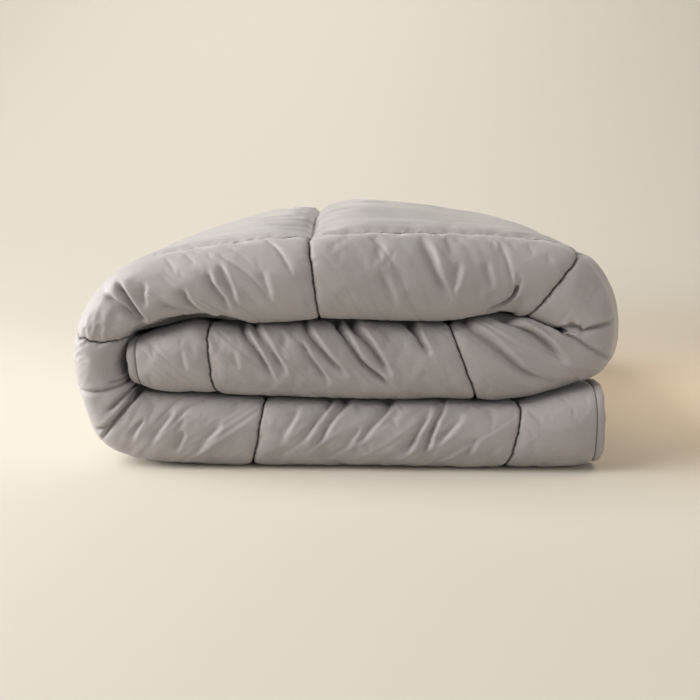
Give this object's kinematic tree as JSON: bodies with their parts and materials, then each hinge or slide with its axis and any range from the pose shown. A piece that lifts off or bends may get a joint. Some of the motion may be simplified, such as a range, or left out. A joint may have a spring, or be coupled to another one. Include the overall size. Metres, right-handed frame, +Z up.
{
  "type": "folded quilted blanket",
  "caption": "Thick box-quilted blanket with a piped edge, folded in half along its length and then in three across, lying as a soft rectangular pile.",
  "frame": {"origin": "middle of the footprint, on the surface the folded blanket lies on", "axes": "+Z up, -Y towards the front, where the rounded long fold shows its rolls, +X along the rolls towards the free end of the bottom roll"},
  "size_m": [0.6978, 0.7602, 0.3275],
  "materials": {
    "shell_fabric": "finely brushed microfibre with a slight satin sheen",
    "piping_fabric": "the same brushed microfibre, drawn tight round a cord"
  },
  "bodies": {
    "root": {"comforter": "shell_fabric", "edge_piping": "piping_fabric"}
  },
  "joints": []
}
